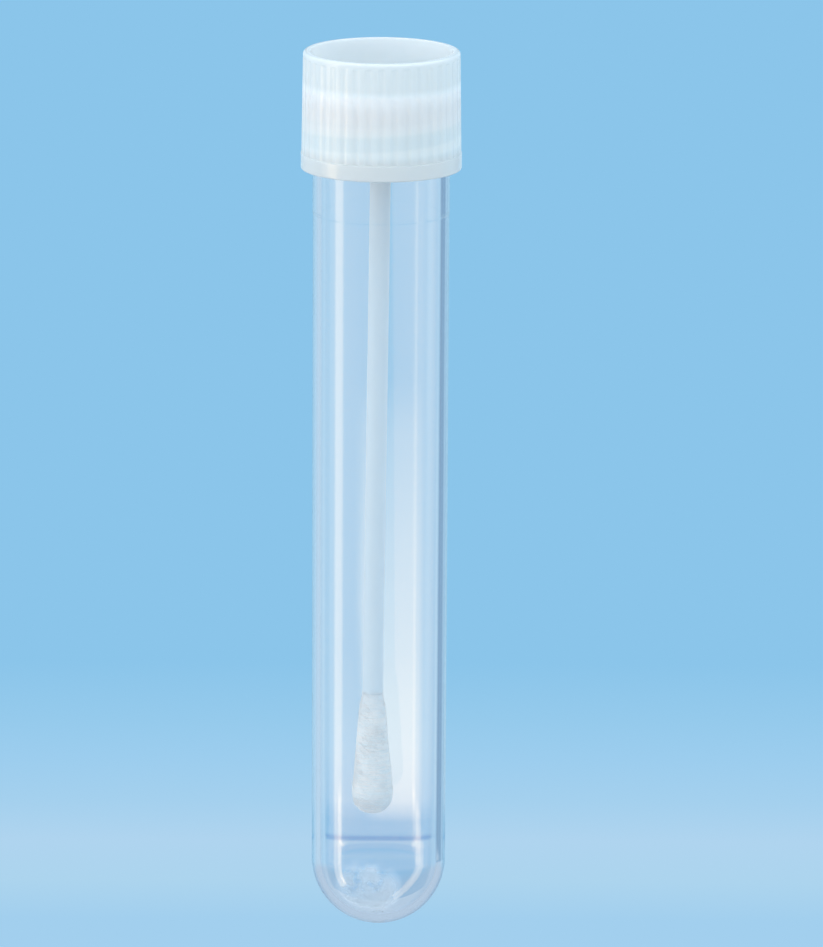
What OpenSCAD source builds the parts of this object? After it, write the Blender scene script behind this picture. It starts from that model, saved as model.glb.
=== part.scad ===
// Specimen swab tube: a clear round-ended tube, a ribbed screw cap, and a swab whose stick is held
// in the cap. It can't stand on its round end, so it stands upside down, on the rim of its cap.
// Each piece is drawn on the Z axis with the tube's round end down, at z = 0, and turned over last.
// Lengths are in millimetres and angles in degrees.

/* [Tube] */
// Length from the bottom of the round end to the rim
tube_length = 101; // [80:0.5:125]
// Outer diameter at the neck
tube_od = 16.5; // [13.5:0.1:20]
// Thickness of the wall
tube_wall = 1; // [0.8:0.05:1.3]
// How much narrower the tube is where its round end begins
tube_draft = 0.4; // [0:0.05:0.6]
// Distance of the mould line from the edge of the cap
mould_line = 5.4; // [2:0.1:15]
// Step in the surface at the mould line
mould_step = 0.03; // [0.01:0.01:0.05]

/* [Screw neck] */
// Height of the thread's ridges
thread_height = 0.6; // [0.3:0.05:0.8]
// How far the thread's root lies below the surface of the tube
thread_root = 0.2; // [0.2:0.05:0.4]
// Clearance between the crest of the thread and the cap
thread_gap = 0.1; // [0.05:0.05:0.3]
// Plain neck left in view between the cap and the thread
thread_margin = 0.2; // [0.1:0.1:1]

/* [Cap] */
// Height of the cap
cap_height = 14.3; // [12:0.1:18]
// Thickness of the cap's side wall
cap_wall = 0.85; // [0.6:0.05:1.5]
// How much narrower the cap is at its top, on the radius
cap_draft = 0.15; // [0:0.05:0.4]
// Depth of the open recess in the top
recess_depth = 4; // [2:0.1:5]
// Thickness of the plate that closes the tube
plate_thickness = 1.7; // [1:0.1:2.5]
// Gap between the tube's rim and the plate
seat_gap = 0.3; // [0.1:0.05:0.5]
// Rounding of the outer edge of the rim
rim_round = 0.4; // [0.2:0.05:0.6]
// Height of the smooth flange round the lower edge
flange_height = 1.9; // [1:0.1:3]
// How far the flange stands out beyond the ribs
flange_step = 0.08; // [0.02:0.01:0.5]
// Rounding of the flange's lower edge
flange_round = 0.2; // [0.1:0.05:0.5]
// Number of grip ribs
rib_count = 38; // [20:1:60]
// Depth of the grooves between the ribs
groove_depth = 0.08; // [0.05:0.01:0.3]
// Width of each groove
groove_width = 0.8; // [0.3:0.05:0.9]
// Height of the plain band above the ribs
rim_band = 0.6; // [0.3:0.1:2]

/* [Seal and socket] */
// Length of the lip that enters the tube
lip_length = 3.5; // [2:0.1:6]
// Thickness of the lip
lip_wall = 0.8; // [0.4:0.05:1.2]
// Clearance between the lip and the tube
lip_gap = 0.15; // [0.05:0.05:0.3]
// Depth of the socket that holds the stick
socket_depth = 6; // [3:0.5:10]
// Thickness of the socket's wall
socket_wall = 1.2; // [0.6:0.1:2]

/* [Swab] */
// Diameter of the stick
stick_d = 2.5; // [1.8:0.1:3]
// How far the stick leans from the tube's axis
stick_lean = 0.6; // [0:0.1:1.5]
// Height of the bud's tip above the bottom of the tube
tip_height = 13.5; // [5:0.5:30]
// Length of the bud
bud_length = 15; // [8:0.5:25]
// Diameter of the bud at its widest
bud_d = 4.9; // [4:0.1:7]
// Thickness of the winding where the bud begins on the stick
bud_start = 0.2; // [0.1:0.05:0.4]
// Length of the bud's blunt end
bud_end = 3.1; // [2:0.1:4]
// Fibre between the end of the stick and the tip of the bud
bud_cover = 1.5; // [0.5:0.1:3]

/* [Hidden] */
$fn = 96;

// Cutting solids reach this far past the surface that they cut
cut = 1;

// Tube
neck_r = tube_od / 2;
end_r = (tube_od - tube_draft) / 2;
body_r = neck_r - mould_step;
core_r = neck_r - thread_root;
mouth_r = neck_r - tube_wall;
cavity_end_r = end_r - tube_wall;

// Cap, from the tube's rim upwards and downwards
plate_z = tube_length + seat_gap;
recess_z = plate_z + plate_thickness;
cap_top = recess_z + recess_depth;
cap_edge = cap_top - cap_height;
mould_z = cap_edge - mould_line;
band_top = cap_edge - thread_margin;
cap_bore_r = core_r + thread_height + thread_gap;
cap_r = cap_bore_r + cap_wall;
cap_top_r = cap_r - cap_draft;
recess_r = cap_top_r - cap_wall;
flange_r = cap_r + flange_step;
flange_z = cap_edge + flange_height;
draft_angle = atan2(cap_draft, cap_top - rim_round - flange_z);
lip_r = mouth_r - lip_gap;

// Swab
stick_r = stick_d / 2;
bud_r = bud_d / 2;
socket_r = stick_r + socket_wall;
stick_length = plate_z - tip_height - bud_cover;
bud_tip = plate_z - tip_height;
bluntness = 0.75;

// Turns a piece over, from standing on the tube's round end to standing on the cap's rim
module stand_on_cap() {
  translate([0, 0, cap_top]) rotate([180, 0, 0]) children();
}

// Puts a piece drawn on the stick's own axis, with the socket's top at 0, in its leaning place
module along_stick() {
  translate([0, 0, plate_z]) rotate([0, -stick_lean, 0]) children();
}

// Quarter disc that closes the round end, outside or inside
module round_end(r) {
  intersection() {
    translate([0, end_r]) circle(r);
    translate([0, end_r - r]) square([r, r]);
  }
}

module tube_outline() {
  rim_r = (core_r - mouth_r) / 2;
  polygon([
    [0, end_r], [end_r, end_r], [body_r, mould_z], [neck_r, mould_z], [neck_r, band_top],
    [core_r, band_top], [core_r, tube_length - rim_r], [0, tube_length - rim_r]
  ]);
  translate([core_r - rim_r, tube_length - rim_r]) circle(rim_r);
  round_end(end_r);
}

module tube_cavity() {
  polygon([
    [0, end_r], [cavity_end_r, end_r], [mouth_r, mould_z],
    [mouth_r, tube_length + cut], [0, tube_length + cut]
  ]);
  round_end(cavity_end_r);
}

module tube() {
  color("lightblue", 0.4) stand_on_cap()
    rotate_extrude() difference() {
      tube_outline();
      tube_cavity();
    }
}

// Half of the cap's outline, filled to the axis
module cap_outline() {
  polygon([
    [0, cap_edge], [flange_r - flange_round, cap_edge], [flange_r, cap_edge + flange_round],
    [flange_r, flange_z], [cap_r, flange_z],
    [cap_top_r, cap_top - rim_round], [cap_top_r - rim_round, cap_top], [0, cap_top]
  ]);
  translate([flange_r - flange_round, cap_edge + flange_round]) circle(flange_round);
  translate([cap_top_r - rim_round, cap_top - rim_round]) circle(rim_round);
}

module grip_grooves() {
  for (i = [0 : rib_count - 1])
    rotate([0, 0, (i + 0.5) * 360 / rib_count])
      translate([cap_r - groove_depth, -groove_width / 2, flange_z])
        rotate([0, -draft_angle, 0])
          cube([cut, groove_width, cap_top - rim_band - flange_z]);
}

module screw_cap() {
  color("aliceblue") stand_on_cap()
    difference() {
      union() {
        rotate_extrude() difference() {
          cap_outline();
          translate([0, recess_z]) square([recess_r, recess_depth + cut]);
          translate([0, cap_edge - cut]) square([cap_bore_r, plate_z - cap_edge + cut]);
        }
        rotate_extrude() translate([lip_r - lip_wall, plate_z - lip_length])
          square([lip_wall, lip_length + plate_thickness / 2]);
        along_stick() translate([0, 0, -socket_depth])
          cylinder(r = socket_r, h = socket_depth + plate_thickness / 2);
      }
      grip_grooves();
      along_stick() translate([0, 0, -socket_depth - cut])
        cylinder(r = stick_r, h = socket_depth + cut);
    }
}

module swab_shaft() {
  color("white") stand_on_cap() along_stick()
    translate([0, 0, -stick_length]) cylinder(r = stick_r, h = stick_length);
}

// Half of the bud's outline: a blunt end that runs into a long taper
module bud_outline() {
  polygon(concat(
    [for (a = [0 : 10 : 90]) [bud_r * pow(sin(a), bluntness), bud_end * (1 - pow(cos(a), bluntness))]],
    [[stick_r + bud_start, bud_length], [0, bud_length]]
  ));
}

module swab_bud() {
  color("white") stand_on_cap() along_stick()
    difference() {
      translate([0, 0, -bud_tip]) rotate_extrude() bud_outline();
      translate([0, 0, -stick_length]) cylinder(r = stick_r, h = stick_length);
    }
}

tube();
screw_cap();
swab_shaft();
swab_bud();
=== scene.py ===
"""Looks of the specimen swab tube, which stands upside down on its cap's rim."""

import math
import random

import bmesh
import bpy
from mathutils import Matrix, Vector, noise


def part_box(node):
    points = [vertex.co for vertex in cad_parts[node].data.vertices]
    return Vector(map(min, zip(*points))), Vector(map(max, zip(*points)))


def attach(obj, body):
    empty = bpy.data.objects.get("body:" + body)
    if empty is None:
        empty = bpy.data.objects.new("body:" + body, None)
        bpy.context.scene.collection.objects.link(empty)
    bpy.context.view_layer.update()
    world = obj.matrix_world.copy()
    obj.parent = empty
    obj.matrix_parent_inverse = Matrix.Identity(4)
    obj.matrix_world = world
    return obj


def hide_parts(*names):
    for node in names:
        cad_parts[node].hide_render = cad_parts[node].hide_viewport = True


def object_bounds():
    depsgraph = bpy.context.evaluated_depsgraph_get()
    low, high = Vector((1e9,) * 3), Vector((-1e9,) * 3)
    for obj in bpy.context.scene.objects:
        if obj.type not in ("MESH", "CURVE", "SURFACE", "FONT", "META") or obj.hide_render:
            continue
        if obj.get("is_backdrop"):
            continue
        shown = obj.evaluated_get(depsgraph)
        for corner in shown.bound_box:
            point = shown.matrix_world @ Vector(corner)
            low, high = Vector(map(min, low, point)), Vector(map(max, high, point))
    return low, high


# A millimetre in metres. In millimetres, how far apart two points are that lie close beside each other,
# and how near a point is that counts as lying on a surface
MM = 0.001
BESIDE = 0.03
NEAR = 0.01

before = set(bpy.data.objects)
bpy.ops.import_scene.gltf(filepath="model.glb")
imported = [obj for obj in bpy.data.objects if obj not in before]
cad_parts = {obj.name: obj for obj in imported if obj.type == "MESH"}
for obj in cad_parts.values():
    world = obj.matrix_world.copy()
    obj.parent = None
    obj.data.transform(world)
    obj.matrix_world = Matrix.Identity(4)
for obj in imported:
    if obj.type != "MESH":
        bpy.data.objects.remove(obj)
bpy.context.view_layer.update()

# Where the solids are, in millimetres. Heights are above the surface that the cap stands on
tube_low, tube_high = (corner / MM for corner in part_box("tube"))
bud_low, bud_high = (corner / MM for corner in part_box("swab_bud"))
cap_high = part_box("screw_cap")[1] / MM
stick_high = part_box("swab_shaft")[1] / MM

NECK_R = tube_high.x
FLANGE_R = cap_high.x
STICK_R = stick_high.y
BUD_R = bud_high.y
RIM_Z, TIP_Z = tube_low.z, tube_high.z
CAP_EDGE_Z = cap_high.z

# Tube
WALL = 1.0
DRAFT = 0.2
MOULD_STEP = 0.03
MOULD_Z = CAP_EDGE_Z + 5.4
NECK_END_Z = CAP_EDGE_Z + 0.2
CORE_R = NECK_R - 0.2
THREAD_HEIGHT = 0.55
THREAD_PITCH = 3.0
THREAD_TURNS = 1.9
THREAD_START_Z = RIM_Z + 1.6
THREAD_FLANK = (0.22, 0.62)
THREAD_RUN_IN = (-0.02, 0.06)
NECK_SPACING, BORE_SPACING = 0.12, 0.18
TUBE_STEPS = 192
GATE_R = 0.7
GATE_STUB_R = 0.25
GATE_DEPTH = 0.12

# Cap
CAP_WALL = 0.85
CAP_R = FLANGE_R - 0.08
CAP_TOP_R = CAP_R - 0.15
FLANGE_Z = CAP_EDGE_Z - 1.9
RECESS_DEPTH = 4.0
PLATE = 1.7
PLATE_Z = RECESS_DEPTH + PLATE
BORE_R = CAP_R - CAP_WALL
RIB_COUNT = 38
STEPS_PER_RIB = 12
GROOVE_DEPTH = 0.08
GROOVE_FLANK = (0.12, 0.3)
RIM_BAND = 0.6
RIM_ROUND = 0.4
FLANGE_ROUND = 0.2
LIP_LENGTH = 3.5
LIP_WALL = 0.8
CAP_THREAD_HEIGHT = 0.4
LIP_ROUND = 0.3
LIP_R = NECK_R - WALL - 0.15
SOCKET_DEPTH = 6.0
SOCKET_R = STICK_R + 1.2
INNER_ROUND = 0.2
EDGE_ROUND = 0.1
CORNER_ROUND = 0.35

# Swab. The bud's length and its blunt end are measured from its tip
STICK_ROUND = 0.15
STICK_STEPS = 64
BUD_LENGTH = bud_high.z - bud_low.z
BUD_END, BUD_BLUNTNESS = 3.1, 3.0
BUD_TAPER = 0.9
BUD_START, BUD_START_SINKS, BUD_START_LENGTH = 0.2, 0.23, 2.6
BUD_ASIDE, BUD_ASIDE_REACH = 0.16, (2.0, 14.0)
BUD_STEPS = 144
BUD_ROWS, ROWS_CROWD = 170, 1.35
# Relief of the winding. A scale is given round the bud and along it
LUMP_HEIGHT, LUMP_SCALE = 0.07, (1.3, 0.45)
TURN_HEIGHT, TURNS_PER_MM = 0.008, 1.1
TURN_STRAY, STRAY_SCALE = 0.6, (1.0, 0.3)
FINE_HEIGHT, FINE_SCALE = 0.014, (2.2, 9.0)
RELIEF_FROM_TIP, RELIEF_FROM_START = 0.9, 1.6
# Single fibres: how many degrees each spans, its drop (mean and spread), its lift off the winding and
# how far a loose end stands off, which most of them don't
FIBRE_SEED = 4
FIBRE_COUNT = 800
FIBRE_POINTS = 11
FIBRE_R = 0.013
FIBRE_CROWD = 1.15
FIBRE_SPAN = (35, 150)
FIBRE_DROP = (0.9, 0.7)
FIBRE_LIFT = (0.0, 0.03)
LOOSE_REACH, LOOSE_RARITY = 0.4, 9


# ---- Making shapes ----

def arc(centre_r, centre_z, radius, start, end, steps):
    """Points of an arc, from one angle to another in degrees: 0 points away from the axis, 90 up."""
    turns = [math.radians(start + (end - start) * i / steps) for i in range(steps + 1)]
    return [(centre_r + radius * math.cos(a), centre_z + radius * math.sin(a)) for a in turns]


def smooth_step(low, high, value):
    """0 up to low and 1 from high, with a smooth way between."""
    part = min(max((value - low) / (high - low), 0.0), 1.0)
    return part * part * (3 - 2 * part)


def joined(*parts, spacing=2.0):
    """Joins parts of an outline. A straight run between two parts gets a point every spacing, and one
    close to each of its ends, so that its shading stays straight beside a rounding or a step."""
    outline = list(parts[0])
    for part in parts[1:]:
        (r, z), (next_r, next_z) = outline[-1], part[0]
        length = math.dist(outline[-1], part[0])
        if length > 4 * BESIDE:
            count = max(1, round(length / spacing))
            shares = [BESIDE / length] + [i / count for i in range(1, count)] + [1 - BESIDE / length]
            outline += [(r + (next_r - r) * share, z + (next_z - z) * share) for share in shares]
        outline += part
    return outline


def turned(outline, steps):
    """A bmesh turned about Z from an outline of (radius, height) points, both ends on the axis."""
    bm = bmesh.new()
    verts = [bm.verts.new((r, 0.0, z)) for r, z in outline]
    for pair in zip(verts, verts[1:]):
        bm.edges.new(pair)
    bmesh.ops.spin(bm, geom=bm.verts[:] + bm.edges[:], axis=(0, 0, 1), cent=(0, 0, 0),
                   angle=math.tau, steps=steps, use_merge=True)
    bmesh.ops.remove_doubles(bm, verts=bm.verts, dist=1e-4)
    bmesh.ops.recalc_face_normals(bm, faces=bm.faces)
    return bm


def placed(name, data):
    """A new object in the scene."""
    made = bpy.data.objects.new(name, data)
    bpy.context.scene.collection.objects.link(made)
    return made


def finished(bm, name, sharp_angle=35.0):
    """Makes the bmesh, in millimetres, a piece in metres with its own smooth shading."""
    bmesh.ops.scale(bm, vec=(MM, MM, MM), verts=bm.verts)
    mesh = bpy.data.meshes.new(name)
    bm.to_mesh(mesh)
    bm.free()
    mesh.shade_smooth()
    mesh.set_sharp_from_angle(angle=math.radians(sharp_angle))
    return placed(name, mesh)


def make_tube():
    """The tube: round end with its gate mark, mould line, threaded neck and rim, and the cavity."""
    end_r = NECK_R - DRAFT
    centre_z = TIP_Z - end_r
    gate_angle = math.degrees(math.acos(GATE_R / end_r))
    rim_r = (CORE_R - (NECK_R - WALL)) / 2
    gate = [(0, TIP_Z - 0.04), (GATE_STUB_R, TIP_Z - 0.05), (GATE_STUB_R + 0.07, TIP_Z - GATE_DEPTH),
            (GATE_R - GATE_DEPTH, TIP_Z - GATE_DEPTH)]
    round_end = arc(0, centre_z, end_r, gate_angle, 0, 40)
    step = [(NECK_R - MOULD_STEP, MOULD_Z + 0.05), (NECK_R, MOULD_Z - 0.05)]
    shoulder = [(NECK_R, NECK_END_Z + 0.06), (NECK_R - 0.06, NECK_END_Z), (CORE_R, NECK_END_Z)]
    outline = joined(gate + round_end, step, shoulder)
    outline = joined(outline, arc(CORE_R - rim_r, RIM_Z + rim_r, rim_r, 0, -180, 10), spacing=NECK_SPACING)
    cavity = arc(0, centre_z, end_r - WALL, 0, 90, 40)
    cavity[-1] = (0, centre_z + end_r - WALL)
    outline = joined(outline, [(NECK_R - WALL, MOULD_Z)], cavity)
    bm = turned(outline, TUBE_STEPS)
    raise_thread(bm, CORE_R, THREAD_HEIGHT, phase=0.0, low=RIM_Z + 0.5, high=NECK_END_Z - 0.1)
    return finished(bm, "tube_shell")


def raise_thread(bm, root_r, height, phase, low, high):
    """Raises a right-hand screw ridge on the wall at root_r, inwards where its height is negative."""
    for vert in bm.verts:
        radius = math.hypot(vert.co.x, vert.co.y)
        if abs(radius - root_r) > NEAR or not low < vert.co.z < high:
            continue
        turn = math.atan2(vert.co.y, vert.co.x) / math.tau + phase
        whole = (vert.co.z - THREAD_START_Z) / THREAD_PITCH - turn
        off = (whole - round(whole)) * THREAD_PITCH
        along = turn + round(whole)
        fade = smooth_step(*THREAD_RUN_IN, along) * smooth_step(*THREAD_RUN_IN, THREAD_TURNS - along)
        rise = height * fade * (1 - smooth_step(*THREAD_FLANK, abs(off)))
        vert.co.xy *= (radius + rise) / radius


def side_r(z):
    """Radius of the cap's ribs at a height."""
    return CAP_TOP_R + (CAP_R - CAP_TOP_R) * (z - RIM_ROUND) / (FLANGE_Z - RIM_ROUND)


def make_cap():
    """The cap, outlined from its recess over the ribs and the flange into the bore, lip and socket."""
    recess_r = CAP_TOP_R - CAP_WALL
    lip_in_r = LIP_R - LIP_WALL
    lip_z = PLATE_Z + LIP_LENGTH
    socket_z = PLATE_Z + SOCKET_DEPTH
    recess = joined([(0, RECESS_DEPTH)],
                    arc(recess_r - CORNER_ROUND, RECESS_DEPTH - CORNER_ROUND, CORNER_ROUND, 90, 0, 6),
                    arc(recess_r + EDGE_ROUND, EDGE_ROUND, EDGE_ROUND, 180, 270, 4),
                    arc(CAP_TOP_R - RIM_ROUND, RIM_ROUND, RIM_ROUND, -90, 0, 8))
    rib_top = [(side_r(RIM_BAND + past), RIM_BAND + past) for past in (-0.05, 0.05, 0.12, 0.2)]
    rib_foot = [(side_r(FLANGE_Z - left), FLANGE_Z - left) for left in (0.14, 0.07, 0.02)]
    flange = [(FLANGE_R - 0.02, FLANGE_Z), (FLANGE_R, FLANGE_Z + 0.05)]
    outside = joined(recess, rib_top, rib_foot + flange,
                     arc(FLANGE_R - FLANGE_ROUND, CAP_EDGE_Z - FLANGE_ROUND, FLANGE_ROUND, 0, 90, 5),
                     arc(BORE_R + EDGE_ROUND, CAP_EDGE_Z - EDGE_ROUND, EDGE_ROUND, 90, 180, 3))
    corner_z = PLATE_Z + INNER_ROUND
    bore = joined(outside, arc(BORE_R - INNER_ROUND, corner_z, INNER_ROUND, 0, -90, 4),
                  spacing=BORE_SPACING)
    lip = joined(bore, arc(LIP_R + INNER_ROUND, corner_z, INNER_ROUND, -90, -180, 4),
                 arc(LIP_R - LIP_ROUND, lip_z - LIP_ROUND, LIP_ROUND, 0, 90, 4),
                 arc(lip_in_r + INNER_ROUND, lip_z - INNER_ROUND, INNER_ROUND, 90, 180, 4),
                 arc(lip_in_r - INNER_ROUND, corner_z, INNER_ROUND, 0, -90, 4))
    socket = joined(lip, arc(SOCKET_R + LIP_ROUND, PLATE_Z + LIP_ROUND, LIP_ROUND, -90, -180, 4),
                    arc(SOCKET_R - INNER_ROUND, socket_z - INNER_ROUND, INNER_ROUND, 0, 90, 4),
                    [(STICK_R + INNER_ROUND, socket_z), (STICK_R, socket_z - INNER_ROUND)],
                    [(STICK_R, PLATE_Z)], [(0, PLATE_Z)])
    bm = turned(socket, RIB_COUNT * STEPS_PER_RIB)
    cut_grooves(bm)
    raise_thread(bm, BORE_R, -CAP_THREAD_HEIGHT, phase=0.5, low=PLATE_Z + 1.0, high=CAP_EDGE_Z - 0.6)
    lean_socket(bm)
    return finished(bm, "cap_shell", 50.0)


def cut_grooves(bm):
    """Sinks the grooves between the grip ribs."""
    for vert in bm.verts:
        radius = math.hypot(vert.co.x, vert.co.y)
        z = vert.co.z
        if not RIM_BAND < z < FLANGE_Z - NEAR or abs(radius - side_r(z)) > NEAR:
            continue
        turn = math.atan2(vert.co.y, vert.co.x) / math.tau * RIB_COUNT
        across = abs(turn - math.floor(turn) - 0.5)
        depth = GROOVE_DEPTH * (1 - smooth_step(*GROOVE_FLANK, across))
        depth *= smooth_step(RIM_BAND, RIM_BAND + 0.2, z) * (1 - smooth_step(FLANGE_Z - 0.1, FLANGE_Z, z))
        vert.co.xy *= (radius - depth) / radius


def stick_x(z):
    """Where the leaning stick's axis is at a height."""
    top_x = stick_high.x - STICK_R
    return top_x * (z - PLATE_Z) / (stick_high.z - PLATE_Z)


def lean_socket(bm):
    """Leans the socket with the stick that it holds."""
    for vert in bm.verts:
        if math.hypot(vert.co.x, vert.co.y) < SOCKET_R + 0.1 and vert.co.z > PLATE_Z - NEAR:
            vert.co.x += stick_x(vert.co.z)


def make_stick():
    """The stick, with its ends rounded off, leaning from the foot of its socket."""
    side = STICK_R - STICK_ROUND
    top = stick_high.z
    outline = joined([(0, PLATE_Z)], arc(side, PLATE_Z + STICK_ROUND, STICK_ROUND, -90, 0, 4),
                     arc(side, top - STICK_ROUND, STICK_ROUND, 0, 90, 4), [(0, top)])
    bm = turned(outline, STICK_STEPS)
    for vert in bm.verts:
        vert.co.x += stick_x(vert.co.z)
    return finished(bm, "stick")


def bud_radius(down):
    """Radius of the wound bud at a distance below its tip, in millimetres."""
    if down < BUD_END:
        part = 1 - max(down, 0.0) / BUD_END
        return BUD_R * (1 - part ** BUD_BLUNTNESS) ** 0.5
    part = (down - BUD_END) / (BUD_LENGTH - BUD_END)
    start = BUD_START - BUD_START_SINKS * smooth_step(BUD_LENGTH - BUD_START_LENGTH, BUD_LENGTH, down)
    return BUD_R + (STICK_R + start - BUD_R) * part ** BUD_TAPER


def bud_centre_x(down):
    """Where the middle of the bud is: towards its tip it lies a little to one side of the stick."""
    return stick_x(bud_high.z - down) - BUD_ASIDE * (1 - smooth_step(*BUD_ASIDE_REACH, down))


def winding_noise(angle, down, round_scale, along_scale):
    """Noise round the bud, by the angle and the distance below its tip."""
    across, deep = math.cos(angle) * round_scale, math.sin(angle) * round_scale
    return noise.noise(Vector((across, deep, down * along_scale)))


def make_bud():
    """The wound fibre: a taper with a blunt end and the ridges of its turns."""
    outline = []
    for i in range(BUD_ROWS + 1):
        down = BUD_LENGTH * (i / BUD_ROWS) ** ROWS_CROWD
        outline.append((bud_radius(down) if i else 0.0, bud_high.z - down))
    outline += [(STICK_R - 0.2, bud_low.z + 0.1), (0.0, bud_low.z + 0.1)]
    bm = turned(outline, BUD_STEPS)
    for vert in bm.verts:
        radius = math.hypot(vert.co.x, vert.co.y)
        down = bud_high.z - vert.co.z
        if radius > STICK_R:
            angle = math.atan2(vert.co.y, vert.co.x)
            lump = winding_noise(angle, down, *LUMP_SCALE)
            stray = winding_noise(angle, down, *STRAY_SCALE)
            turn = math.sin((down * TURNS_PER_MM + angle / math.tau + TURN_STRAY * stray) * math.tau)
            fine = winding_noise(angle, down, *FINE_SCALE)
            share = smooth_step(0.0, RELIEF_FROM_TIP, down)
            share *= smooth_step(0.0, RELIEF_FROM_START, BUD_LENGTH - down)
            relief = LUMP_HEIGHT * lump + TURN_HEIGHT * turn + FINE_HEIGHT * fine
            vert.co.xy *= (radius + share * relief) / radius
        vert.co.x += bud_centre_x(down)
    return finished(bm, "wound_bud", 80.0)


def make_fibres():
    """Single fibres that lie round the bud, some of them with an end that stands off."""
    rng = random.Random(FIBRE_SEED)
    curve = bpy.data.curves.new("fibre_lines", "CURVE")
    curve.dimensions = "3D"
    curve.bevel_depth = FIBRE_R * MM
    curve.bevel_resolution = 1
    for _ in range(FIBRE_COUNT):
        down = BUD_LENGTH * rng.random() ** FIBRE_CROWD
        angle = rng.uniform(0, math.tau)
        span = math.radians(rng.uniform(*FIBRE_SPAN))
        drop = rng.gauss(*FIBRE_DROP)
        lift = rng.uniform(*FIBRE_LIFT)
        loose = rng.random() ** LOOSE_RARITY * LOOSE_REACH
        spline = curve.splines.new("POLY")
        spline.points.add(FIBRE_POINTS - 1)
        for i in range(FIBRE_POINTS):
            part = i / (FIBRE_POINTS - 1)
            here = down + drop * part + 0.05 * math.sin(9 * part + angle)
            here = min(max(here, 0.12), BUD_LENGTH - 0.05)
            turn = angle + span * part
            radius = bud_radius(here) + lift + 0.02 * math.sin(7 * part + 5 * angle)
            radius += loose * smooth_step(0.55, 1.0, part)
            x = math.cos(turn) * radius + bud_centre_x(here)
            spline.points[i].co = (x * MM, math.sin(turn) * radius * MM, (bud_high.z - here) * MM, 1)
            spline.points[i].radius = 1 - 0.5 * smooth_step(0.7, 1.0, part)
    lines = placed("fibre_lines", curve)
    bpy.context.view_layer.update()
    mesh = bpy.data.meshes.new_from_object(lines.evaluated_get(bpy.context.evaluated_depsgraph_get()))
    bpy.data.objects.remove(lines)
    bpy.data.curves.remove(curve)
    mesh.name = "bud_fibres"
    mesh.shade_smooth()
    return placed("bud_fibres", mesh)


# ---- Materials ----

# The clear plastic's cloudy patch: its middle, and the distances from it where the cloud begins and
# is whole. LAMP_THROUGH is how much of a lamp's light the plastic lets through
CLOUDY_PATCH = (1.5 * MM, 4.2 * MM, (TIP_Z - 2.2) * MM)
CLOUDY_REACH = (5.3 * MM, 2.7 * MM)
CLOUDINESS = 0.46
CLOUD_WHITE = (0.9, 0.95, 1.0, 1)
LAMP_THROUGH = (0.93, 0.94, 0.95, 1)
MILKY, MILKY_LIGHT = (0.94, 0.985, 1.0, 1), (0.955, 0.995, 1.0, 1)
# Painted shade for the cap's thin wall round the bore
MILKY_THIN_SHADE = (0.76, 0.86, 0.90, 1)
# Painted shade for the cap's outside beside the recess and on the flange
MILKY_SHADED = (0.75, 0.78, 0.78, 1)
STICK_TONE, STICK_LIGHT = (0.64, 0.77, 0.85, 1), (0.68, 0.80, 0.87, 1)
FIBRE_TONE, FIBRE_LIGHT = (0.88, 0.94, 0.98, 1), (1.0, 1.0, 1.0, 1)
# The wound fibre: a lighter tone on its raised strands and painted shade in the hollows between them
WOUND_TONE, WOUND_LIGHT = (0.84, 0.95, 1.0, 1), (0.98, 1.0, 1.0, 1)
WOUND_THIN = (0.84, 0.94, 1.0, 1)
# Painted shade on the bud's blunt tip
WOUND_TIP_SHADE = (0.70, 0.82, 0.90, 1)


def add(tree, kind, inputs=None, **settings):
    """Adds a node with its settings. An input is given a value or linked to a socket."""
    made = tree.nodes.new(kind)
    for key, value in settings.items():
        setattr(made, key, value)
    for key, value in (inputs or {}).items():
        if isinstance(value, bpy.types.NodeSocket):
            tree.links.new(value, made.inputs[key])
        else:
            made.inputs[key].default_value = value
    return made


def calc(tree, operation, first, second=0.0, third=0.0):
    """The result of a sum on values and sockets."""
    return add(tree, "ShaderNodeMath", {0: first, 1: second, 2: third}, operation=operation).outputs[0]


def product(tree, first, *others):
    """All of the values and sockets multiplied together."""
    for other in others:
        first = calc(tree, "MULTIPLY", first, other)
    return first


def mixed(tree, share, under, over, blend="MIX"):
    """One colour over another by its share."""
    node = add(tree, "ShaderNodeMix", {"Factor": share, 6: under, 7: over},
               data_type="RGBA", blend_type=blend)
    return node.outputs[2]


def step(tree, value, low, high):
    """0 where the value is at low and 1 where it is at high, with a smooth way between."""
    node = add(tree, "ShaderNodeMapRange", {"Value": value, "From Min": low, "From Max": high},
               interpolation_type="SMOOTHSTEP")
    return node.outputs["Result"]


def window(tree, value, low, high, soft):
    """1 from low to high, with edges that are soft to either side."""
    rise = step(tree, value, low - soft, low + soft)
    return product(tree, rise, step(tree, value, high + soft, high - soft))


def ramp(tree, value, stops):
    """A colour by value, from stops of (value, red, green and blue)."""
    node = add(tree, "ShaderNodeValToRGB", {"Fac": value})
    band = node.color_ramp
    while len(band.elements) < len(stops):
        band.elements.new(0.5)
    for element, (place, colour) in zip(band.elements, stops):
        element.position = place
        element.color = (*colour[:3], 1.0)
    return node.outputs[0]


def new_material(name):
    """An empty material and its node tree."""
    material = bpy.data.materials.new(name)
    material.use_nodes = True
    material.node_tree.nodes.clear()
    return material, material.node_tree


def srgb(red, green, blue):
    """A colour given as 8-bit sRGB, as linear values."""
    parts = [c / 255 for c in (red, green, blue)]
    return [c / 12.92 if c <= 0.04045 else ((c + 0.055) / 1.055) ** 2.4 for c in parts] + [1.0]


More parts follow.
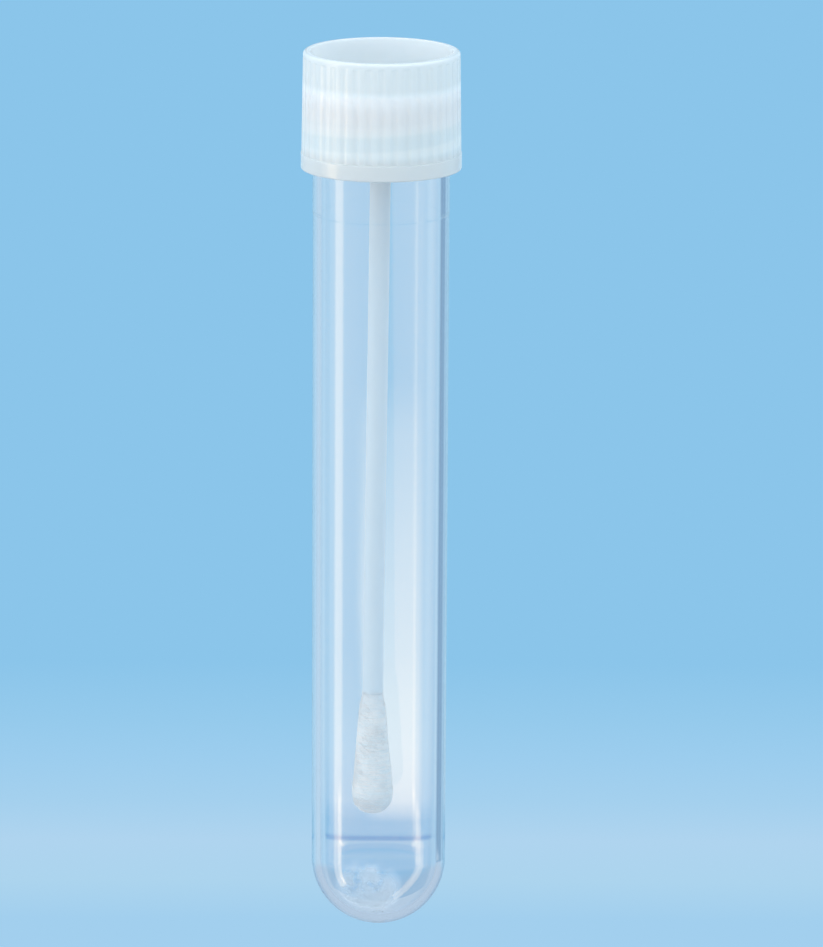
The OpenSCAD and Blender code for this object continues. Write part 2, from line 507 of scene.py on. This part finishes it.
def clear_plastic():
    """Moulded clear polystyrene. Lamps shine through it, a little weaker."""
    material, tree = new_material("clear_plastic")
    place = add(tree, "ShaderNodeTexCoord").outputs["Object"]
    ripple = add(tree, "ShaderNodeTexNoise", {"Vector": place, "Scale": 90.0, "Detail": 1.0})
    bump = add(tree, "ShaderNodeBump", {
        "Height": ripple.outputs["Fac"], "Strength": 0.02, "Distance": 0.0001})
    shell = add(tree, "ShaderNodeBsdfPrincipled", {
        "Base Color": (1, 1, 1, 1), "Roughness": 0.0, "IOR": 1.59, "Transmission Weight": 1.0,
        "Normal": bump.outputs["Normal"]})
    from_patch = add(tree, "ShaderNodeVectorMath", {0: place, 1: CLOUDY_PATCH}, operation="DISTANCE")
    patches = add(tree, "ShaderNodeTexNoise", {"Vector": place, "Scale": 420.0, "Detail": 3.0})
    haze = product(tree, step(tree, from_patch.outputs["Value"], *CLOUDY_REACH),
                   step(tree, patches.outputs["Fac"], 0.36, 0.58), CLOUDINESS)
    blush = add(tree, "ShaderNodeBsdfDiffuse", {"Color": CLOUD_WHITE})
    hazy = add(tree, "ShaderNodeMixShader", {0: haze, 1: shell.outputs[0], 2: blush.outputs[0]})
    through = add(tree, "ShaderNodeBsdfTransparent", {"Color": LAMP_THROUGH})
    path = add(tree, "ShaderNodeLightPath")
    both = add(tree, "ShaderNodeMixShader", {
        0: path.outputs["Is Shadow Ray"], 1: hazy.outputs[0], 2: through.outputs[0]})
    add(tree, "ShaderNodeOutputMaterial", {"Surface": both.outputs[0]})
    return material


def milky_plastic():
    """Natural polyethylene, milky and translucent, with a satin surface."""
    material, tree = new_material("milky_plastic")
    place = add(tree, "ShaderNodeTexCoord").outputs["Object"]
    cloud = add(tree, "ShaderNodeTexNoise", {"Vector": place, "Scale": 260.0, "Detail": 3.0})
    cloudy = mixed(tree, cloud.outputs["Fac"], MILKY, MILKY_LIGHT)
    axes = add(tree, "ShaderNodeSeparateXYZ", {"Vector": place})
    # The side wall is thin round the bore and thicker on the ridges of its thread: it is painted darker
    # there as shade, as if the dark bore showed through, least on the ridges
    turn = calc(tree, "DIVIDE", calc(tree, "ARCTAN2", axes.outputs["Y"], axes.outputs["X"]), math.tau)
    rise = calc(tree, "DIVIDE", axes.outputs["Z"], THREAD_PITCH * MM)
    across = calc(tree, "PINGPONG", calc(tree, "SUBTRACT", rise, turn), 0.5)
    bore = step(tree, axes.outputs["Z"], (PLATE_Z + 0.6) * MM, (PLATE_Z + 4.0) * MM)
    thin = product(tree, bore, calc(tree, "MULTIPLY_ADD", step(tree, across, 0.1, 0.3), 0.35, 0.5))
    tone = mixed(tree, thin, cloudy, MILKY_THIN_SHADE)
    # Painted shade: its outside is a little darker beside the recess than on the plate, and on the flange
    level = add(tree, "ShaderNodeVectorMath", {0: place, 1: (1, 1, 0)}, operation="MULTIPLY").outputs[0]
    from_axis = add(tree, "ShaderNodeVectorMath", {0: level}, operation="LENGTH").outputs["Value"]
    outside = step(tree, from_axis, (BORE_R + 0.2) * MM, (BORE_R + 0.4) * MM)
    beside = step(tree, axes.outputs["Z"], (RECESS_DEPTH + 0.6) * MM, (RECESS_DEPTH - 0.8) * MM)
    flange = step(tree, axes.outputs["Z"], (FLANGE_Z - 1.4) * MM, (FLANGE_Z + 0.1) * MM)
    shade = product(tree, outside, calc(tree, "MAXIMUM", product(tree, beside, 0.88), flange))
    toned = mixed(tree, shade, tone, MILKY_SHADED)
    gloss = calc(tree, "MULTIPLY_ADD", product(tree, outside, flange), -0.12, 0.26)
    grain = add(tree, "ShaderNodeTexNoise", {"Vector": place, "Scale": 2600.0, "Detail": 2.0})
    bump = add(tree, "ShaderNodeBump", {
        "Height": grain.outputs["Fac"], "Strength": 0.12, "Distance": 0.00004})
    shell = add(tree, "ShaderNodeBsdfPrincipled", {
        "Base Color": toned, "Roughness": gloss, "IOR": 1.51, "Transmission Weight": 0.1,
        "Subsurface Weight": 1.0, "Subsurface Radius": (1.0, 1.05, 1.1), "Subsurface Scale": 0.0012,
        "Normal": bump.outputs["Normal"]})
    add(tree, "ShaderNodeOutputMaterial", {"Surface": shell.outputs[0]})
    return material


def white_plastic():
    """Plain white drawn plastic, with fine streaks along it."""
    material, tree = new_material("white_plastic")
    place = add(tree, "ShaderNodeTexCoord").outputs["Object"]
    drawn = add(tree, "ShaderNodeMapping", {"Vector": place, "Scale": (1500.0, 1500.0, 60.0)})
    streak = add(tree, "ShaderNodeTexNoise", {"Vector": drawn.outputs[0], "Scale": 1.0, "Detail": 2.0})
    tone = mixed(tree, streak.outputs["Fac"], STICK_TONE, STICK_LIGHT)
    bump = add(tree, "ShaderNodeBump", {
        "Height": streak.outputs["Fac"], "Strength": 0.1, "Distance": 0.00003})
    shell = add(tree, "ShaderNodeBsdfPrincipled", {
        "Base Color": tone, "Roughness": 0.34, "IOR": 1.5,
        "Subsurface Weight": 0.6, "Subsurface Radius": (1.0, 1.0, 1.0), "Subsurface Scale": 0.0005,
        "Normal": bump.outputs["Normal"]})
    add(tree, "ShaderNodeOutputMaterial", {"Surface": shell.outputs[0]})
    return material


def single_fibre():
    """The fibre of the winding where it lies singly, too fine for light to wander in it."""
    material, tree = new_material("single_fibre")
    place = add(tree, "ShaderNodeTexCoord").outputs["Object"]
    streak = add(tree, "ShaderNodeTexNoise", {"Vector": place, "Scale": 900.0, "Detail": 2.0})
    tone = mixed(tree, streak.outputs["Fac"], FIBRE_TONE, FIBRE_LIGHT)
    shell = add(tree, "ShaderNodeBsdfPrincipled", {
        "Base Color": tone, "Roughness": 0.8, "Specular IOR Level": 0.2})
    add(tree, "ShaderNodeOutputMaterial", {"Surface": shell.outputs[0]})
    return material


def wound_fibre():
    """White fibre wound in close turns, soft and matt."""
    material, tree = new_material("wound_fibre")
    place = add(tree, "ShaderNodeTexCoord").outputs["Object"]
    wrapped = add(tree, "ShaderNodeMapping", {"Vector": place, "Scale": (500.0, 500.0, 5200.0)})
    strand = add(tree, "ShaderNodeTexNoise", {
        "Vector": wrapped.outputs[0], "Scale": 1.0, "Detail": 4.0, "Distortion": 0.6})
    # Painted shade: the fibre is darker and bluer in the hollows between the raised strands, lighter on
    # them
    raised = step(tree, strand.outputs["Fac"], 0.3, 0.7)
    tone = mixed(tree, raised, WOUND_TONE, WOUND_LIGHT)
    # The first, thin turns have one tone with the stick under them, and the tip is painted darker as shade
    # on its blunt end
    height = add(tree, "ShaderNodeSeparateXYZ", {"Vector": place}).outputs["Z"]
    thin = step(tree, height, (bud_low.z + 3.5) * MM, (bud_low.z - 0.5) * MM)
    tone = mixed(tree, thin, tone, WOUND_THIN)
    tip = step(tree, height, (bud_high.z - 3.6) * MM, (bud_high.z - 1.0) * MM)
    tone = mixed(tree, tip, tone, WOUND_TIP_SHADE)
    tuft = add(tree, "ShaderNodeTexNoise", {"Vector": place, "Scale": 1400.0, "Detail": 3.0})
    relief = calc(tree, "MULTIPLY_ADD", tuft.outputs["Fac"], 2.0, strand.outputs["Fac"])
    bump = add(tree, "ShaderNodeBump", {"Height": relief, "Strength": 0.5, "Distance": 0.0002})
    shell = add(tree, "ShaderNodeBsdfPrincipled", {
        "Base Color": tone, "Roughness": 0.9, "Sheen Weight": 0.3, "Sheen Roughness": 0.5,
        "Normal": bump.outputs["Normal"]})
    add(tree, "ShaderNodeOutputMaterial", {"Surface": shell.outputs[0]})
    return material


# ---- Stage ----

# The camera looks up at the standing tube from below its level, and is turned over with it
CAMERA_DISTANCE = 2.5
CAMERA_RISE = 11.55
CAMERA_ROLL = -0.26
PICTURE_HEIGHT = 0.11402
AIM_RIGHT = 0.0038
AIM_UP = 0.0017
SENSOR_WIDTH = 36.0

# The hole in the floor, which is smaller than the cap's rim, and how many times as wide the floor is
HOLE_R = CAP_TOP_R - 0.2
FLOOR_SPREAD = 4000
FLOOR_PALE = (0.80, 0.93, 0.99, 1)


def make_floor():
    """A wide pale floor, with a hole under the cap's rim. A look that comes from below it goes through,
    and doesn't meet it again in what the object reflects."""
    bm = bmesh.new()
    bmesh.ops.create_circle(bm, segments=96, radius=HOLE_R * MM)
    ring = bmesh.ops.extrude_edge_only(bm, edges=bm.edges[:])
    outer = [e for e in ring["geom"] if isinstance(e, bmesh.types.BMVert)]
    bmesh.ops.scale(bm, vec=(FLOOR_SPREAD, FLOOR_SPREAD, 1), verts=outer)
    bmesh.ops.recalc_face_normals(bm, faces=bm.faces)
    if bm.faces[:][0].normal.z < 0:
        bmesh.ops.reverse_faces(bm, faces=bm.faces)
    mesh = bpy.data.meshes.new("floor")
    bm.to_mesh(mesh)
    bm.free()
    floor = placed("floor", mesh)
    material, tree = new_material("pale_floor")
    matt = add(tree, "ShaderNodeBsdfDiffuse", {"Color": FLOOR_PALE})
    through = add(tree, "ShaderNodeBsdfTransparent")
    path = add(tree, "ShaderNodeLightPath")
    side = add(tree, "ShaderNodeNewGeometry")
    below = product(tree, path.outputs["Is Camera Ray"], side.outputs["Backfacing"])
    outside = calc(tree, "SUBTRACT", 1.0, path.outputs["Is Transmission Ray"])
    passed = product(tree, path.outputs["Transparent Depth"], outside)
    see_through = calc(tree, "MINIMUM", calc(tree, "ADD", below, passed), 1.0)
    both = add(tree, "ShaderNodeMixShader", {0: see_through, 1: matt.outputs[0], 2: through.outputs[0]})
    add(tree, "ShaderNodeOutputMaterial", {"Surface": both.outputs[0]})
    mesh.materials.append(material)
    floor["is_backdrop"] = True


# The studio round the tube, in degrees. A bearing is 0 straight behind the tube and grows towards -X.
# A window is (low, high, softness of its edges), and a fade is (nothing here, whole here)
BACKDROP_FADE = (20.0, 14.0)
HORIZON_FADE = (7.0, 1.0)
FRONT_FADE = (66.0, 90.0)
ABOVE_FADE = (13.0, 17.0)
BELOW_FADE = (-25.0, -50.0)
BAND_WINDOW = (-52.0, -34.0, 4.0)
RIM_WINDOW = (8.0, 28.0, 4.0)
SHADE_WINDOW, SHADE_SHARE = (11.0, 23.0, 3.0), 0.25
LOW_WINDOW = (-16.0, 5.0, 3.0)
FLAG_WINDOW, FLAG_FADE = (27.0, 50.0, 5.0), (12.775, 12.72)
SIDE_FLAG_WINDOW, SIDE_FLAG_FADE = (-85.0, -71.0, 4.0), (12.75, 12.65)
WHITE_FRONT = (1.18, 1.0, 0.91, 1)
PALE_SIDE = (0.45, 0.62, 0.80, 1)
PALE_BAND = (0.50, 0.69, 0.86, 1)
RIM_PALE = (0.44, 0.71, 0.93, 1)
PALE_ABOVE = (0.46, 0.60, 0.76, 1)
WHITE_BELOW = (3.0, 3.0, 3.0, 1)
DARK_FLAG = (0.21, 0.37, 0.56, 1)
HORIZON = srgb(170, 202, 223)
# Colours of the backdrop, by height in the picture, from 0 at its top to 1
BACKDROP = [(0.70, (139, 197, 234)), (0.76, (149, 202, 236)), (0.80, (156, 205, 238)),
            (0.845, (164, 208, 238)), (0.887, (175, 212, 239)), (0.93, (172, 212, 238)),
            (0.97, (162, 207, 238))]

# White strips that show as streaks on the tube. All but the first show only in reflections
STRIP_WHITE = (3.2, 2.3, 1.2, 1)
STRIP_WINDOW, STRIP_FADE, STRIP_THROUGH = (-113.5, -97.0, 3.0), (42.0, 34.0), 0.1
NARROW_WINDOW, NARROW_SHARE = (-105.5, -99.5, 2.0), 2.1
SHORT_WINDOW, SHORT_FADE = (107.0, 113.0, 3.0), (12.9, 12.8)
WEDGE_WINDOW, WEDGE_HEIGHTS = (89.0, 100.0, 3.0), (12.74, 64.0, 0.04)
WEDGE_LEAN, WEDGE_SHARE = -0.5, 1.6
FAINT_WINDOW, FAINT_FADE, FAINT_SHARE = (114.5, 119.5, 2.0), (12.74, 12.64), 0.47
GLINT_FADE, GLINT_SHARE = (12.64, 12.72), 0.6

# Light for everything matt
FILL_LIGHT = (0.54, 0.68, 0.79, 1)
FILL_BEHIND, BEHIND_FADE = (0.90, 1.02, 1.10, 1), (85.0, 50.0)
FILL_ABOVE, HIGH_FADE = (0.32, 0.43, 0.54, 1), (20.0, 60.0)
FILL_BELOW = (1.08, 1.25, 1.38, 1)

# The card close behind the tube, by height above the floor in millimetres, with painted light and shade
# that show only through the clear plastic: a white glow along the swab, and a deeper blue behind the round
# end, with a dark line where it begins
CARD_BACK = 30.0
CARD_HALF_WIDTH = 17.0
CARD_EDGE = 4.0
CARD_LOW, CARD_HIGH = 46.0, 116.0
GLOW_WHITE = (0.37, 0.25, 0.11, 1)
GLOW = [(46, 0.0), (52.5, 0.31), (56, 0.38), (61.5, 0.52), (67.5, 0.66), (75, 0.80), (86, 1.0),
        (94.5, 1.0), (97, 0.93), (98.6, 0.78), (100.2, 0.42), (101.3, 0.0)]
GLOW_LEFT, GLOW_LEFT_SOFT = 9.3, 1.5
GLOW_RIGHT, GLOW_RIGHT_SOFT = -8.0, 3.0
GLOW_LEAN, GLOW_LEAN_FROM = 0.08, 74.0
NO_TINT = (1.0, 1.0, 1.0)
DEEPER_TINT = (0.87, 0.92, 0.97)
EDGE_TINT = (0.50, 0.74, 0.89)
BLUE_TINT = (0.64, 0.79, 0.90)
LINE_TINT = (0.12, 0.46, 0.75)
TINT = [(92, NO_TINT), (98.5, DEEPER_TINT), (101.2, EDGE_TINT), (102.8, EDGE_TINT),
        (103.1, LINE_TINT), (103.4, LINE_TINT), (103.7, BLUE_TINT)]

# Lamps, far off: place, size, power and colour
LAMP_AIM = (0, 0, 0.05)
KEY_LAMP = ((5.7, -4.7, 0.15), (3.5, 3.0), 228.0, (1.0, 0.92, 0.85))
SIDE_LAMP = ((-6.0, -1.0, 0.3), (4.0, 3.0), 104.0, (0.85, 0.95, 1.0))


def backdrop_colour(tree, elevation):
    """The pale blue backdrop. It ends in the colour of the far floor."""
    half_view = math.degrees(PICTURE_HEIGHT / CAMERA_DISTANCE) / 2
    height = add(tree, "ShaderNodeMapRange", {
        "Value": elevation, "From Min": CAMERA_RISE - half_view, "From Max": CAMERA_RISE + half_view})
    colour = ramp(tree, height.outputs["Result"], [(place, srgb(*tone)) for place, tone in BACKDROP])
    return mixed(tree, step(tree, elevation, *HORIZON_FADE), colour, HORIZON)


def strip_light(tree, bearing, elevation, reflected, refracted):
    """How much of the white strips each direction shows."""
    strip_end = step(tree, elevation, *STRIP_FADE)
    kept = calc(tree, "SUBTRACT", 1.0, product(tree, refracted, 1 - STRIP_THROUGH))
    strip = product(tree, window(tree, bearing, *STRIP_WINDOW), kept, strip_end)
    short = product(tree, window(tree, bearing, *SHORT_WINDOW), step(tree, elevation, *SHORT_FADE))
    leaning = calc(tree, "MULTIPLY_ADD", elevation, WEDGE_LEAN, bearing)
    wedge = product(tree, window(tree, leaning, *WEDGE_WINDOW),
                    window(tree, elevation, *WEDGE_HEIGHTS), WEDGE_SHARE)
    narrow = product(tree, window(tree, bearing, *NARROW_WINDOW), strip_end, NARROW_SHARE)
    glint = calc(tree, "MAXIMUM", calc(tree, "MAXIMUM", short, wedge), narrow)
    glint = product(tree, glint, step(tree, elevation, *GLINT_FADE), GLINT_SHARE)
    faint = product(tree, window(tree, bearing, *FAINT_WINDOW), step(tree, elevation, *FAINT_FADE), kept)
    glint = calc(tree, "MULTIPLY_ADD", faint, FAINT_SHARE, glint)
    return calc(tree, "ADD", strip, product(tree, glint, reflected))


def studio_colour(tree, bearing, elevation, backdrop, path):
    """What the glass shows: the backdrop, pale sides with dark flags, a white front and its strips."""
    reflected, refracted = path["Is Glossy Ray"], path["Is Transmission Ray"]
    spread = calc(tree, "ABSOLUTE", bearing)
    flag = product(tree, window(tree, bearing, *FLAG_WINDOW), step(tree, elevation, *FLAG_FADE))
    side_flag = product(tree, window(tree, bearing, *SIDE_FLAG_WINDOW), reflected,
                        step(tree, elevation, *SIDE_FLAG_FADE))
    rim_light = product(tree, window(tree, spread, *RIM_WINDOW), reflected)
    shade = product(tree, window(tree, bearing, *SHADE_WINDOW), refracted, SHADE_SHARE)
    studio = mixed(tree, step(tree, spread, *FRONT_FADE), PALE_SIDE, WHITE_FRONT)
    studio = mixed(tree, flag, studio, DARK_FLAG)
    studio = mixed(tree, window(tree, bearing, *BAND_WINDOW), studio, PALE_BAND)
    studio = mixed(tree, side_flag, studio, DARK_FLAG)
    studio = mixed(tree, step(tree, spread, *BACKDROP_FADE), studio, backdrop)
    studio = mixed(tree, rim_light, studio, RIM_PALE)
    studio = mixed(tree, shade, studio, DARK_FLAG)
    studio = mixed(tree, step(tree, elevation, *ABOVE_FADE), studio, PALE_ABOVE)
    strips = strip_light(tree, bearing, elevation, reflected, refracted)
    studio = mixed(tree, strips, studio, STRIP_WHITE, "ADD")
    studio = mixed(tree, step(tree, elevation, *BELOW_FADE), studio, WHITE_BELOW)
    low = product(tree, window(tree, elevation, *LOW_WINDOW), refracted)
    return mixed(tree, calc(tree, "MAXIMUM", low, path["Is Camera Ray"]), studio, backdrop)


def fill_colour(tree, bearing, elevation):
    """Plain soft light, brighter from behind and below."""
    spread = calc(tree, "ABSOLUTE", bearing)
    fill = mixed(tree, step(tree, spread, *BEHIND_FADE), FILL_LIGHT, FILL_BEHIND)
    fill = mixed(tree, step(tree, elevation, *HIGH_FADE), fill, FILL_ABOVE)
    return mixed(tree, step(tree, elevation, *BELOW_FADE), fill, FILL_BELOW)


def make_world():
    """Pale blue backdrop behind, a white studio in front, and plain soft light on everything matt."""
    world = bpy.data.worlds.new("studio")
    bpy.context.scene.world = world
    world.use_nodes = True
    tree = world.node_tree
    tree.nodes.clear()
    way = add(tree, "ShaderNodeTexCoord").outputs["Generated"]
    axes = add(tree, "ShaderNodeSeparateXYZ", {"Vector": way})
    x, y, z = (axes.outputs[k] for k in "XYZ")
    bearing = product(tree, calc(tree, "ARCTAN2", product(tree, x, -1.0), y), 180 / math.pi)
    elevation = product(tree, calc(tree, "ARCSINE", z), 180 / math.pi)
    path = add(tree, "ShaderNodeLightPath").outputs
    backdrop = backdrop_colour(tree, elevation)
    studio = studio_colour(tree, bearing, elevation, backdrop, path)
    fill = fill_colour(tree, bearing, elevation)
    shown = calc(tree, "MAXIMUM", path["Is Glossy Ray"], path["Is Transmission Ray"])
    shown = calc(tree, "MAXIMUM", path["Is Camera Ray"], shown)
    shown = product(tree, shown, calc(tree, "LESS_THAN", path["Diffuse Depth"], 0.5))
    colour = mixed(tree, shown, fill, studio)
    light = add(tree, "ShaderNodeBackground", {"Color": colour, "Strength": 1.0})
    add(tree, "ShaderNodeOutputWorld", {"Surface": light.outputs[0]})


def make_card():
    """The card close behind the tube, which shows only through clear plastic: a painted glow and painted
    shade.
    """
    bm = bmesh.new()
    bmesh.ops.create_grid(bm, x_segments=1, y_segments=1, size=0.5)
    bmesh.ops.scale(bm, vec=(2 * CARD_HALF_WIDTH, CARD_HIGH - CARD_LOW, 1), verts=bm.verts)
    bmesh.ops.rotate(bm, matrix=Matrix.Rotation(math.radians(90), 3, "X"), verts=bm.verts)
    bmesh.ops.translate(bm, vec=(0, CARD_BACK, (CARD_LOW + CARD_HIGH) / 2), verts=bm.verts)
    bmesh.ops.scale(bm, vec=(MM, MM, MM), verts=bm.verts)
    mesh = bpy.data.meshes.new("card")
    bm.to_mesh(mesh)
    bm.free()
    card = placed("card", mesh)
    card.visible_camera = card.visible_diffuse = card.visible_glossy = card.visible_shadow = False
    material, tree = new_material("card_light")
    place = add(tree, "ShaderNodeTexCoord").outputs["Object"]
    axes = add(tree, "ShaderNodeSeparateXYZ", {"Vector": place})
    height = add(tree, "ShaderNodeMapRange", {
        "Value": axes.outputs["Z"], "From Min": CARD_LOW * MM, "From Max": CARD_HIGH * MM})

    def by_height(stops):
        places = [((z - CARD_LOW) / (CARD_HIGH - CARD_LOW), colour) for z, colour in stops]
        return ramp(tree, height.outputs["Result"], places)

    rise = step(tree, axes.outputs["X"], (GLOW_RIGHT - GLOW_RIGHT_SOFT) * MM,
                (GLOW_RIGHT + GLOW_RIGHT_SOFT) * MM)
    leans_from = calc(tree, "MAXIMUM", axes.outputs["Z"], GLOW_LEAN_FROM * MM)
    leaning = calc(tree, "MULTIPLY_ADD", leans_from, GLOW_LEAN, axes.outputs["X"])
    fall = step(tree, leaning, (GLOW_LEFT + GLOW_LEFT_SOFT) * MM, (GLOW_LEFT - GLOW_LEFT_SOFT) * MM)
    strength = product(tree, rise, fall, by_height([(z, (share, share, share)) for z, share in GLOW]))
    light = add(tree, "ShaderNodeEmission", {"Color": GLOW_WHITE, "Strength": strength})
    aside = calc(tree, "ABSOLUTE", axes.outputs["X"])
    edge = step(tree, aside, (CARD_HALF_WIDTH - CARD_EDGE) * MM, CARD_HALF_WIDTH * MM)
    tint = mixed(tree, edge, by_height(TINT), (*NO_TINT, 1))
    clear = add(tree, "ShaderNodeBsdfTransparent", {"Color": tint})
    both = add(tree, "ShaderNodeAddShader", {0: light.outputs[0], 1: clear.outputs[0]})
    add(tree, "ShaderNodeOutputMaterial", {"Surface": both.outputs[0]})
    mesh.materials.append(material)
    card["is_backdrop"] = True


def make_lamp(name, place, size, power, colour):
    """A soft lamp, aimed at the middle of the object, that isn't seen itself."""
    light = bpy.data.lights.new(name, "AREA")
    light.shape = "RECTANGLE"
    light.size, light.size_y = size
    light.energy = power
    light.color = colour
    lamp = placed(name, light)
    lamp.location = place
    lamp.rotation_mode = "QUATERNION"
    lamp.rotation_quaternion = (Vector(LAMP_AIM) - Vector(place)).to_track_quat("-Z", "Y")
    lamp.visible_glossy = False
    lamp.visible_transmission = False
    lamp.visible_camera = False


def make_camera():
    """The main camera, below the floor's level and turned over."""
    low, high = (Vector(corner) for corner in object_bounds())
    centre = (low + high) / 2
    rise = math.radians(CAMERA_RISE)
    forward = Vector((0, math.cos(rise), math.sin(rise)))
    up = Vector((0, math.sin(rise), -math.cos(rise)))
    up = Matrix.Rotation(math.radians(CAMERA_ROLL), 3, forward) @ up
    right = forward.cross(up)
    aim = centre + right * AIM_RIGHT + up * AIM_UP
    data = bpy.data.cameras.new("camera")
    data.sensor_width = SENSOR_WIDTH
    data.lens = SENSOR_WIDTH * CAMERA_DISTANCE / PICTURE_HEIGHT
    data.clip_start, data.clip_end = 0.05, 100.0
    camera = placed("camera", data)
    turn = Matrix((right, up, -forward)).transposed()
    camera.matrix_world = Matrix.Translation(aim - forward * CAMERA_DISTANCE) @ turn.to_4x4()
    bpy.context.scene.camera = camera


clear = clear_plastic()
milky = milky_plastic()
white = white_plastic()
fibre = wound_fibre()
single = single_fibre()

tube = make_tube()
tube.data.materials.append(clear)
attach(tube, "tube_body")
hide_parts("tube")

cap = make_cap()
cap.data.materials.append(milky)
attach(cap, "cap_and_swab")
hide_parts("screw_cap")

stick = make_stick()
stick.data.materials.append(white)
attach(stick, "cap_and_swab")
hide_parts("swab_shaft")

bud = make_bud()
bud.data.materials.append(fibre)
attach(bud, "cap_and_swab")
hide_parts("swab_bud")

fibres = make_fibres()
fibres.data.materials.append(single)
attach(fibres, "cap_and_swab")

make_floor()
make_world()
make_card()
make_lamp("key", *KEY_LAMP)
make_lamp("side", *SIDE_LAMP)
make_camera()
bpy.context.scene.view_settings.view_transform = "Standard"
